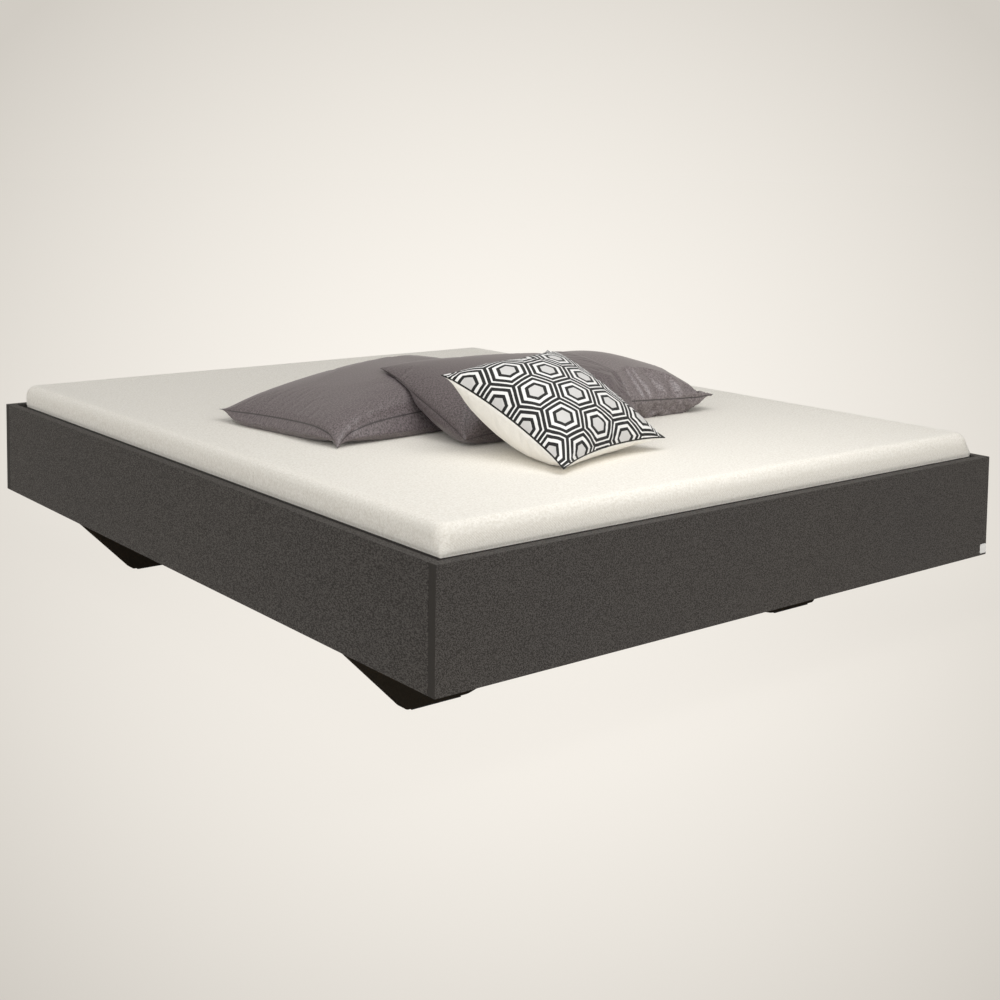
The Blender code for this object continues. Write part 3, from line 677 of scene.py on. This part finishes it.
def buildMattress(cut):
    width, length, thickness = cut["size"]
    seam = cut["seamAt"] - cut["top"] + thickness / 2
    bm = bmesh.new()
    addBox(bm, (0, 0, 0), cut["size"])
    upright = [e for e in bm.edges if abs(e.verts[0].co.z - e.verts[1].co.z) > thickness / 2]
    bmesh.ops.bevel(
        bm, geom=upright, offset=cut["cornerRadius"], segments=cut["cornerSteps"],
        profile=0.5, affect="EDGES",
    )
    level = [
        e for e in bm.edges
        if abs(e.verts[0].co.z - e.verts[1].co.z) < thickness / 2 and e.calc_face_angle(0) > 1
    ]
    bmesh.ops.bevel(
        bm, geom=level, offset=cut["edgeRadius"], segments=cut["edgeSteps"],
        profile=0.5, affect="EDGES",
    )
    for axis in (0, 1):
        half = cut["size"][axis] / 2 - cut["plainRim"]
        steps = math.ceil(2 * half / cut["cells"])
        for k in range(steps + 1):
            at, way = Vector(), Vector()
            at[axis], way[axis] = -half + 2 * half * k / steps, 1
            addRow(bm, at, way)
    for share in cut["seamCuts"]:
        addRow(bm, (0, 0, seam + share * cut["seamRows"]), (0, 0, 1))
    bm.normal_update()
    radius = cut["cornerRadius"]
    for vert in bm.verts:
        x, y, z = vert.co
        fade = 1 - min(1, abs(abs(z) - thickness / 2) / cut["humpFade"])
        vert.co.z += liftOfFilling(cut, x, y, z) * fade
        pull = cut["seamDepth"] * math.exp(-((z - seam) / cut["seamSpread"]) ** 2)
        vert.co.x -= vert.normal.x * pull
        vert.co.y -= vert.normal.y * pull
        # At the foot end the cover fills the panels' corners and rounds off only above them
        out = (abs(x) - width / 2 + radius, abs(y) - length / 2 + radius)
        if y < 0 and min(out) > 0:
            filled = cut["cornerFill"] * (1 - eased((z - seam) / cut["cornerRise"]))
            grown = filled * (math.hypot(*out) / max(out) - 1)
            vert.co.x += math.copysign(out[0] * grown, x)
            vert.co.y += math.copysign(out[1] * grown, y)
        # Its sides draw in, the left one in full and the right one not at all
        inset = cut["inset"] * eased((z - cut["insetFrom"]) / cut["insetOver"])
        vert.co.x += inset * max(0, 1 - 4 * x / width) / 3
        vert.co.y *= 1 - 2 * inset / length
    mesh = meshFrom(bm, "mattressCover")
    mesh.transform(Matrix.Translation((0, 0, cut["top"] - thickness / 2)))
    smoothShade(mesh)
    piece = addPiece("mattress_cover", mesh, [cottonCover], "mattress")
    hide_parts("mattress")


buildMattress(mattressCut)
print("mattress made")


# Small pieces of the frame and the slat base

slatStrap = {
    "width": 0.025, "thickness": 0.0013, "top": 0.3177, "sag": 0.0035, "step": 0.0042,
    "edge": 0.0004,
}


def sagBetween(y, rests):
    # How far a strap hangs down between the two slats beside this place
    for (_, start), (end, _) in zip(rests, rests[1:]):
        if start < y < end:
            return slatStrap["sag"] * math.sin(math.pi * (y - start) / (end - start)) ** 2
    return 0


def buildStrap(side):
    name = "slat_strap_" + side
    low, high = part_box(name)
    slats = [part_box(n) for n in cadNodes if n.startswith("slat_") and n[5:].isdigit()]
    rests = sorted((near.y, far.y) for near, far in slats)
    half, thick, edge = slatStrap["width"] / 2, slatStrap["thickness"], slatStrap["edge"]
    ring = [
        (-half + edge, 0), (0, 0), (half - edge, 0), (half, -thick / 2),
        (half - edge, -thick), (0, -thick), (-half + edge, -thick), (-half, -thick / 2),
    ]
    steps = math.ceil((high.y - low.y) / slatStrap["step"])
    middle = (low.x + high.x) / 2
    verts, faces = [], []
    for k in range(steps + 1):
        y = low.y + (high.y - low.y) * k / steps
        top = slatStrap["top"] - sagBetween(y, rests)
        verts += [(middle + dx, y, top + dz) for dx, dz in ring]
    count = len(ring)
    for k in range(steps):
        for n in range(count):
            a, b = k * count + n, k * count + (n + 1) % count
            faces.append((a, b, b + count, a + count))
    faces += [tuple(range(count))[::-1], tuple(range(steps * count, steps * count + count))]
    mesh = bpy.data.meshes.new(name + "Woven")
    mesh.from_pydata(verts, [], faces)
    smoothShade(mesh)
    piece = addPiece(name + "_woven", mesh, [finishes["webbing"]], "slat_base")
    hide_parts(name)
    return middle, rests


staple = {
    "size": (0.011, 0.0011, 0.0007), "round": 0.000245, "fromEdge": 0.018, "top": 0.3179,
}


def buildStaples(side, middle, rests):
    bm = bmesh.new()
    for start, end in rests:
        for y in (start + staple["fromEdge"], end - staple["fromEdge"]):
            addBox(bm, (middle, y, staple["top"] - staple["size"][2] / 2), staple["size"])
    bmesh.ops.bevel(bm, geom=bm.edges[:], offset=staple["round"], segments=2, affect="EDGES")
    mesh = meshFrom(bm, "staples" + side)
    smoothShade(mesh)
    addPiece("strap_staples_" + side, mesh, [finishes["zinc"]], "slat_base")


for side in ("left", "right"):
    buildStaples(side, *buildStrap(side))


footPad = {
    "round": 0.0011,
    "cells": 0.003,
    "fuzz": 0.00022,
    "tufts": ((913, 2.1), (1207, 0.7)),   # radians to the metre, and where each wave starts
    "sole": 0.0002,                       # the pad stays flat this far up from the floor
}


def buildPad(name):
    low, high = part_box(name)
    size = high - low
    bm = bmesh.new()
    addBox(bm, (low + high) / 2, size)
    bmesh.ops.bevel(
        bm, geom=bm.edges[:], offset=footPad["round"], segments=3, profile=0.5, affect="EDGES"
    )
    for axis in (0, 1):
        steps = int(size[axis] / footPad["cells"])
        for k in range(1, steps):
            at, way = low.copy(), Vector()
            at[axis], way[axis] = low[axis] + size[axis] * k / steps, 1
            addRow(bm, at, way)
    bm.normal_update()
    (across, startAcross), (along, startAlong) = footPad["tufts"]
    for vert in bm.verts:
        if vert.co.z > low.z + footPad["sole"]:
            tuft = math.sin(across * vert.co.x + startAcross)
            tuft *= math.sin(along * vert.co.y + startAlong)
            vert.co -= vert.normal * footPad["fuzz"] * (0.5 + 0.5 * tuft)
    mesh = meshFrom(bm, name + "Felt")
    smoothShade(mesh)
    piece = addPiece(name + "_felt", mesh, [finishes["felt"]], "frame")
    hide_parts(name)


for name in [n for n in cadNodes if n.startswith("foot_pad")]:
    buildPad(name)


blankTag = {
    "low": (0.7995, 0.1830), "high": (0.8235, 0.2055), "face": -1.025, "thickness": 0.0007,
    "corner": 0.0018, "rim": 0.00028,
}


def polyesterLabel():
    # A small label of white coated polyester, left blank: smooth, with a faint silk gloss
    material, tree = newMaterial("polyesterLabel", IOR=1.5)
    place = addNode(tree, "TexCoord").outputs["Object"]
    film = addNode(tree, "TexNoise", {"Vector": place, "Scale": 1 / 0.002, "Detail": 2})
    colour = addNode(tree, "Mix", {0: film, 6: "#DCDAD7", 7: "#E8E7E4"}, data_type="RGBA")
    rough = addNode(tree, "MapRange", {0: film, "To Min": 0.45, "To Max": 0.6})
    return dressed(material, colour, rough)


def buildTag(tag):
    (left, bottom), (right, top) = tag["low"], tag["high"]
    thickness = tag["thickness"]
    halfWay = tag["face"] - thickness / 2
    bm = bmesh.new()
    addBox(
        bm, ((left + right) / 2, halfWay, (bottom + top) / 2),
        (right - left, thickness, top - bottom),
    )
    corners = [e for e in bm.edges if abs(e.verts[0].co.y - e.verts[1].co.y) > thickness / 2]
    bmesh.ops.bevel(bm, geom=corners, offset=tag["corner"], segments=5, affect="EDGES")
    rim = [
        e for e in bm.edges
        if max(v.co.y for v in e.verts) < halfWay and e.calc_face_angle(0) > 1
    ]
    bmesh.ops.bevel(bm, geom=rim, offset=tag["rim"], segments=2, affect="EDGES")
    mesh = meshFrom(bm, "blankTag")
    addPiece("blank_tag", mesh, [polyesterLabel()], "frame")


buildTag(blankTag)
print("straps, pads and tag made")


# Pillows and cushion

sewing = {
    "rows": 72,              # cloth cells across each sheet
    "crowding": 0.45,        # how far the rows crowd towards the seam
    "frames": 20,            # length of the simulation
    "most": 0.020,           # how far the filling may push the cloth
    "spreading": 60,         # how often a push is spread to tell fullness from folds
    "fuller": 0.10,          # share of the fullness that is kept
    "restGap": 0.0005,       # between the mattress and what lies on it
    "softGap": 0.0015,       # between one pillow and the next
    "reach": 0.012,          # how far round each point what lies below is felt for
    "fineReach": 0.004,      # and once more, after the rows are drawn finer
    "feltFrom": 3,           # metres up, above every pillow
    "thinnest": 0.016,
    "closeRows": (0, 0.25, 0.55, 0.9, 1.3, 1.75, 2.3),   # fine rows beside the seam, in cells
    "evenFrom": 2.9,         # the cell where even rows begin
    "evenRows": 133,
    "seamDepth": 0.0030,     # how far the stitches pull the seam in
    "pullTowards": 5,        # the row that they pull it towards
    "pullFrom": 6,           # rows from a corner where the pull begins
    "pullOver": 14,          # and over which it grows
}

# What the cloth simulation takes for every pillow
stuffing = {
    "quality": 5, "mass": 0.3, "air_damping": 1, "tension_stiffness": 15,
    "compression_stiffness": 15, "shear_stiffness": 5, "use_pressure": True,
    "vertex_group_mass": "seam",
}

# The seam's four runs on a sheet of points
seamRuns = (np.s_[0], np.s_[-1], np.s_[:, 0], np.s_[:, -1])

# Corner values (drops, ears) run front left, front right, back left, back right, and drawIn
# runs left, right, front, back. A dome is the fall towards the seam, and how full the top and
# the belly stay on the way. The ears are how flat the cover lies in its corners.
# Spare is the share of cloth to spare, and folds how much of what it does is kept.
leftPillow = {
    "name": "pillow_left", "width": 0.5895, "depth": 0.4696, "crown": 0.0825, "belly": 0.0920,
    "dome": (2.59, 0.314, 0.285), "swell": 0.195, "seamHeight": 0.0495,
    "drawIn": (0.0855, 0.0166, 0.1456, 0.205), "skew": (0.48, 0.13),
    "middle": (-0.2976, -0.0322), "tilt": (-1.36, -2.64, 5.5),
    "drops": (0.0394, 0.037, 0.0006, 0.037), "dropPower": 6.5,
    "ears": (0.0, 0.45, 0.92, 0.45), "earReach": 0.17,
    "spare": 0.012, "stiffness": 0.10, "pressure": 4.0, "folds": 0.55,
}
rightPillow = {
    "name": "pillow_right", "width": 0.480, "depth": 0.480, "crown": 0.093, "belly": 0.083,
    "dome": (1.78, 0.554, 0.36), "swell": 0.040, "seamHeight": 0.0546,
    "drawIn": (0.08, 0.08, 0.023, 0.064), "skew": (0.047, -0.068),
    "middle": (0.2606, -0.1808), "tilt": (0.8, 3.45, 2.5),
    "drops": (0.012, -0.0073, 0.012, 0.012), "dropPower": 3.6,
    "ears": (0.50, 0.45, 0.50, 0.50), "earReach": 0.16,
    "spare": 0.085, "stiffness": 0.03, "pressure": 3.5, "folds": 1.15,
}
middlePillow = {
    "name": "pillow_middle", "width": 0.531, "depth": 0.389, "crown": 0.0795, "belly": 0.087,
    "dome": (2.07, 0.4255, 0.489), "swell": 0.035, "seamHeight": 0.0829,
    "drawIn": (-0.0157, 0.05, 0.05, 0.048), "skew": (0.008, -0.4075),
    "middle": (-0.0549, -0.2801), "tilt": (17.8, 0.8, -2.7),
    "drops": (0.0084, 0.006, 0.0096, 0.0062), "dropPower": 3.55,
    "ears": (0.10, 0.20, 0.20, 0.20), "earReach": 0.13,
    "spare": 0.005, "stiffness": 0.22, "pressure": 4.0, "folds": 0.6,
}
scatterCushion = {
    "name": "scatter_cushion", "width": 0.3775, "depth": 0.3756, "crown": 0.0794, "belly": 0.1044,
    "dome": (2.33, 0.49, 0.705), "swell": 0.028, "seamHeight": 0.1015,
    "drawIn": (0.133, 0.113, 0.119, 0.195), "skew": (-0.068, 0.136),
    "middle": (-0.1897, -0.5919), "tilt": (26.1, -2.2, 11.7),
    "drops": (-0.0023, -0.0022, 0.0009, -0.0058), "dropPower": 3,
    "ears": (0.85, 0.88, 0.85, 0.55), "earReach": 0.17,
    "spare": 0.014, "stiffness": 0.30, "pressure": 4.0, "folds": 1.0,
}


def atCorners(values, u, v):
    # Each point takes the value of the corner in its own quarter
    return np.where(
        v < 0, np.where(u < 0, values[0], values[1]), np.where(u < 0, values[2], values[3])
    )


def shareOfCrown(u, v, skew, power, fullness):
    along = u - skew[0] * (1 - u * u)
    across = v - skew[1] * (1 - v * v)
    fall = (1 - np.abs(along) ** power) * (1 - np.abs(across) ** power)
    share = np.clip(fall, 0, None) ** fullness
    for run in seamRuns:
        share[run] = 0
    return share


def supports(trees, x, y, reach, gap):
    # How high the pillows below stand near each point, or the mattress where there is none
    high = np.full(x.shape, mattressCut["top"] + sewing["restGap"])
    ring = [(0, 0)] + [
        (reach * math.cos(k * math.pi / 4), reach * math.sin(k * math.pi / 4)) for k in range(8)
    ]
    down = Vector((0, 0, -1))
    for tree in trees:
        for place in np.ndindex(x.shape):
            for dx, dy in ring:
                start = Vector((x[place] + dx, y[place] + dy, sewing["feltFrom"]))
                hit = tree.ray_cast(start, down)[0]
                if hit is not None:
                    high[place] = max(high[place], hit.z + gap)
    return high


def restOn(below, sheet, reach):
    x, y, z = np.moveaxis(sheet, -1, 0)
    sheet[..., 2] = np.maximum(z, supports(below, x, y, reach, sewing["softGap"]))


def joinSheets(top, low, share, thinnest):
    # Keeps the filling's least depth between the sheets, and joins them at the seam
    top[..., 2] = np.maximum(top[..., 2], low[..., 2] + thinnest * share)
    for run in seamRuns:
        top[run] = low[run]


def formSheets(form, below):
    # The two sheets of the cover, in place, with the form that the solid has
    steps = np.linspace(-1, 1, sewing["rows"] + 1)
    crowding = sewing["crowding"]
    spots = (1 - crowding) * steps + crowding * np.sin(steps * math.pi / 2)
    u, v = np.meshgrid(spots, spots, indexing="ij")
    left, right, front, back = form["drawIn"]
    sideDraw, endDraw = np.where(u < 0, left, right), np.where(v < 0, front, back)
    turn = np.array(Euler([math.radians(a) for a in form["tilt"]]).to_matrix())
    middle = np.array([*form["middle"], mattressCut["top"] + form["seamHeight"]])
    drop = atCorners(form["drops"], u, v) * np.abs(u * v) ** form["dropPower"]
    power, topFull, lowFull = form["dome"]
    sheets = []
    for side, bulge, fullness, swell in (
        (1, form["crown"], topFull, 0.0), (-1, form["belly"], lowFull, form["swell"])
    ):
        share = shareOfCrown(u, v, form["skew"], power, fullness)
        swollen = swell * 4 * share * (1 - share)
        place = np.stack([
            u * form["width"] / 2 * (1 - sideDraw * (1 - v * v)) * (1 + swollen * (1 - v ** 4)),
            v * form["depth"] / 2 * (1 - endDraw * (1 - u * u)) * (1 + swollen * (1 - u ** 4)),
            side * bulge * share - drop,
        ], axis=-1)
        sheets.append((place @ turn.T + middle, share))
    (top, share), (low, _) = sheets
    restOn(below, low, sewing["reach"])
    joinSheets(top, low, share, sewing["thinnest"])
    return top, low, share


def stitched(top, low):
    # Vertices and faces of two sheets that share their seam
    rows = len(top)
    inner = np.zeros((rows, rows), bool)
    inner[1:-1, 1:-1] = True
    topAt = np.arange(rows * rows).reshape(rows, rows)
    lowAt = topAt.copy()
    lowAt[inner] = rows * rows + np.arange(inner.sum())
    verts = np.concatenate([top.reshape(-1, 3), low[inner]])
    faces = []
    for at, order in ((topAt, 1), (lowAt, -1)):
        corners = np.stack([at[:-1, :-1], at[1:, :-1], at[1:, 1:], at[:-1, 1:]], axis=-1)
        faces.append(corners.reshape(-1, 4)[:, ::order])
    return verts, np.concatenate(faces), topAt, lowAt


def diffused(field, times):
    # Spreads a push over its neighbours, and holds it at nothing along the seam
    field = field.copy()
    for _ in range(times):
        field[1:-1, 1:-1] = (
            field[:-2, 1:-1] + field[2:, 1:-1] + field[1:-1, :-2] + field[1:-1, 2:]
        ) / 4
    return field


def stuffed(form, top, low):
    # Cloth simulation of the filled cover: the seam is held and the sheets are cut with spare
    verts, faces, topAt, lowAt = stitched(top, low)
    mesh = bpy.data.meshes.new("stuffing")
    mesh.from_pydata(verts.tolist(), [], faces.tolist())
    cover = bpy.data.objects.new("stuffing", mesh)
    scene.collection.objects.link(cover)
    seam = cover.vertex_groups.new(name="seam")
    edge = np.concatenate([topAt[run] for run in seamRuns])
    seam.add([int(k) for k in set(edge.tolist())], 1, "REPLACE")
    scene.frame_set(1)
    cloth = cover.modifiers.new("cloth", "CLOTH")
    for name, value in stuffing.items():
        setattr(cloth.settings, name, value)
    cloth.settings.bending_stiffness = form["stiffness"]
    cloth.settings.uniform_pressure_force = form["pressure"]
    cloth.settings.shrink_min = -form["spare"]
    cloth.settings.effector_weights.gravity = 0
    cloth.collision_settings.use_collision = False
    cloth.point_cache.frame_start = 1
    cloth.point_cache.frame_end = sewing["frames"]
    for number in range(1, sewing["frames"] + 1):
        scene.frame_set(number)
    drawn = cover.evaluated_get(bpy.context.evaluated_depsgraph_get()).to_mesh()
    moved = np.empty(len(drawn.vertices) * 3)
    drawn.vertices.foreach_get("co", moved)
    push = moved.reshape(-1, 3) - verts
    bpy.data.objects.remove(cover)
    bpy.data.meshes.remove(mesh)
    scene.frame_set(1)
    size = np.linalg.norm(push, axis=1, keepdims=True)
    push *= np.minimum(1, sewing["most"] / np.maximum(size, 1e-9))
    out = []
    for sheet, at in ((top, topAt), (low, lowAt)):
        shift = push[at]
        broad = diffused(shift, sewing["spreading"])
        out.append(sheet + form["folds"] * (shift - broad) + sewing["fuller"] * broad)
    return out


def between(grid, spots, axis):
    # Smooth values between the rows of a grid, at places counted in rows
    grid = np.moveaxis(grid, axis, 0)
    last = len(grid) - 1
    padded = np.concatenate([[2 * grid[0] - grid[1]], grid, [2 * grid[-1] - grid[-2]]])
    base = np.clip(np.floor(spots).astype(int), 0, last - 1)
    t = (spots - base).reshape((-1,) + (1,) * (grid.ndim - 1))
    a, b, c, d = (padded[base + k] for k in range(4))
    value = b + 0.5 * t * (c - a + t * (2 * a - 5 * b + 4 * c - d + t * (3 * (b - c) + d - a)))
    return np.moveaxis(value, 0, axis)


def fineRows(rows):
    # Rows about half a cell apart, and closer still beside the seam
    close, start = np.array(sewing["closeRows"]), sewing["evenFrom"]
    middle = np.linspace(start, rows - start, sewing["evenRows"])
    return np.concatenate([close, middle, rows - close[::-1]])


def alongCloth(sheet):
    # Each point's place on the flat cloth, in metres from its middle rows, and how far from
    # the seam it lies
    def lengths(grid):
        steps = np.linalg.norm(np.diff(grid, axis=0), axis=-1)
        run = np.concatenate([np.zeros((1, grid.shape[1])), np.cumsum(steps, axis=0)])
        return run - run[len(run) // 2], np.minimum(run, run[-1] - run)
    across, gapAcross = lengths(sheet)
    along, gapAlong = lengths(np.swapaxes(sheet, 0, 1))
    return across, along.T, np.minimum(gapAcross, gapAlong.T)


def seamGroove(top, low):
    # Stitches pull the seam in, and the pull fades into the pointed corners
    inward = np.zeros_like(top)
    rows, row = len(top), sewing["pullTowards"]
    insides = (np.s_[row], np.s_[-1 - row], np.s_[:, row], np.s_[:, -1 - row])
    for run, inside in zip(seamRuns, insides):
        inward[run] = (top[inside] + low[inside]) / 2 - top[run]
    size = np.linalg.norm(inward, axis=-1, keepdims=True)
    inward /= np.maximum(size, 1e-9)
    near = np.minimum(np.arange(rows), rows - 1 - np.arange(rows))
    fade = np.clip((near - sewing["pullFrom"]) / sewing["pullOver"], 0, 1)
    depth = np.zeros((rows, rows))
    for run in seamRuns:
        depth[run] = fade
    return inward * (depth * sewing["seamDepth"])[..., None]


def flatEars(form, top, low, spots):
    # The filling doesn't reach into the corners, where the two sheets lie almost flat
    share = spots * 2 / sewing["rows"] - 1
    u, v = np.meshgrid(share, share, indexing="ij")
    apart = ((1 - np.abs(u)) ** 2 + (1 - np.abs(v)) ** 2) / (2 * form["earReach"] ** 2)
    thin = (atCorners(form["ears"], u, v) * np.exp(-apart))[..., None]
    middle = (top + low) / 2
    return top + (middle - top) * thin, low + (middle - low) * thin


def buildPillow(form, below, materials):
    top, low, share = formSheets(form, below)
    flat = alongCloth(top)
    top, low = stuffed(form, top, low)
    spots = fineRows(sewing["rows"])
    top, low, share, *flat = [
        between(between(grid, spots, 0), spots, 1) for grid in (top, low, share, *flat)
    ]
    top, low = flatEars(form, top, low, spots)
    pull = seamGroove(top, low)
    top, low = top + pull, low + pull
    restOn(below, low, sewing["fineReach"])
    joinSheets(top, low, share, sewing["thinnest"] / 2)
    verts, faces, topAt, lowAt = stitched(top, low)
    mesh = bpy.data.meshes.new(form["name"] + "Cover")
    mesh.from_pydata(verts.tolist(), [], faces.tolist())
    across, along, gap = (np.empty(len(verts)) for _ in range(3))
    for values, grid in zip((across, along, gap), flat):
        values[lowAt] = grid
        values[topAt] = grid
    corners = faces.reshape(-1)
    uv = mesh.uv_layers.new(name="cloth")
    uv.data.foreach_set("uv", np.stack([across[corners], along[corners]], axis=-1).reshape(-1))
    seamGap = mesh.attributes.new("seamGap", "FLOAT", "POINT")
    seamGap.data.foreach_set("value", np.maximum(gap, 0).astype(np.float32))
    half = len(faces) // 2
    mesh.polygons.foreach_set("material_index", [0] * half + [len(materials) - 1] * half)
    smoothShade(mesh)
    piece = addPiece(form["name"] + "_cover", mesh, materials, form["name"])
    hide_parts(form["name"])
    print(form["name"], "sewn and stuffed")
    return BVHTree.FromPolygons(verts.tolist(), faces.tolist())


leftTree = buildPillow(leftPillow, [], [satin])
# The right pillow takes the satin painted lighter and the middle one the satin painted darker
rightTree = buildPillow(rightPillow, [leftTree], [satinPaintedLighter])
middleTree = buildPillow(middlePillow, [leftTree, rightTree], [satinPaintedDarker])
buildPillow(
    scatterCushion, [leftTree, rightTree, middleTree], [printed, canvas]
)
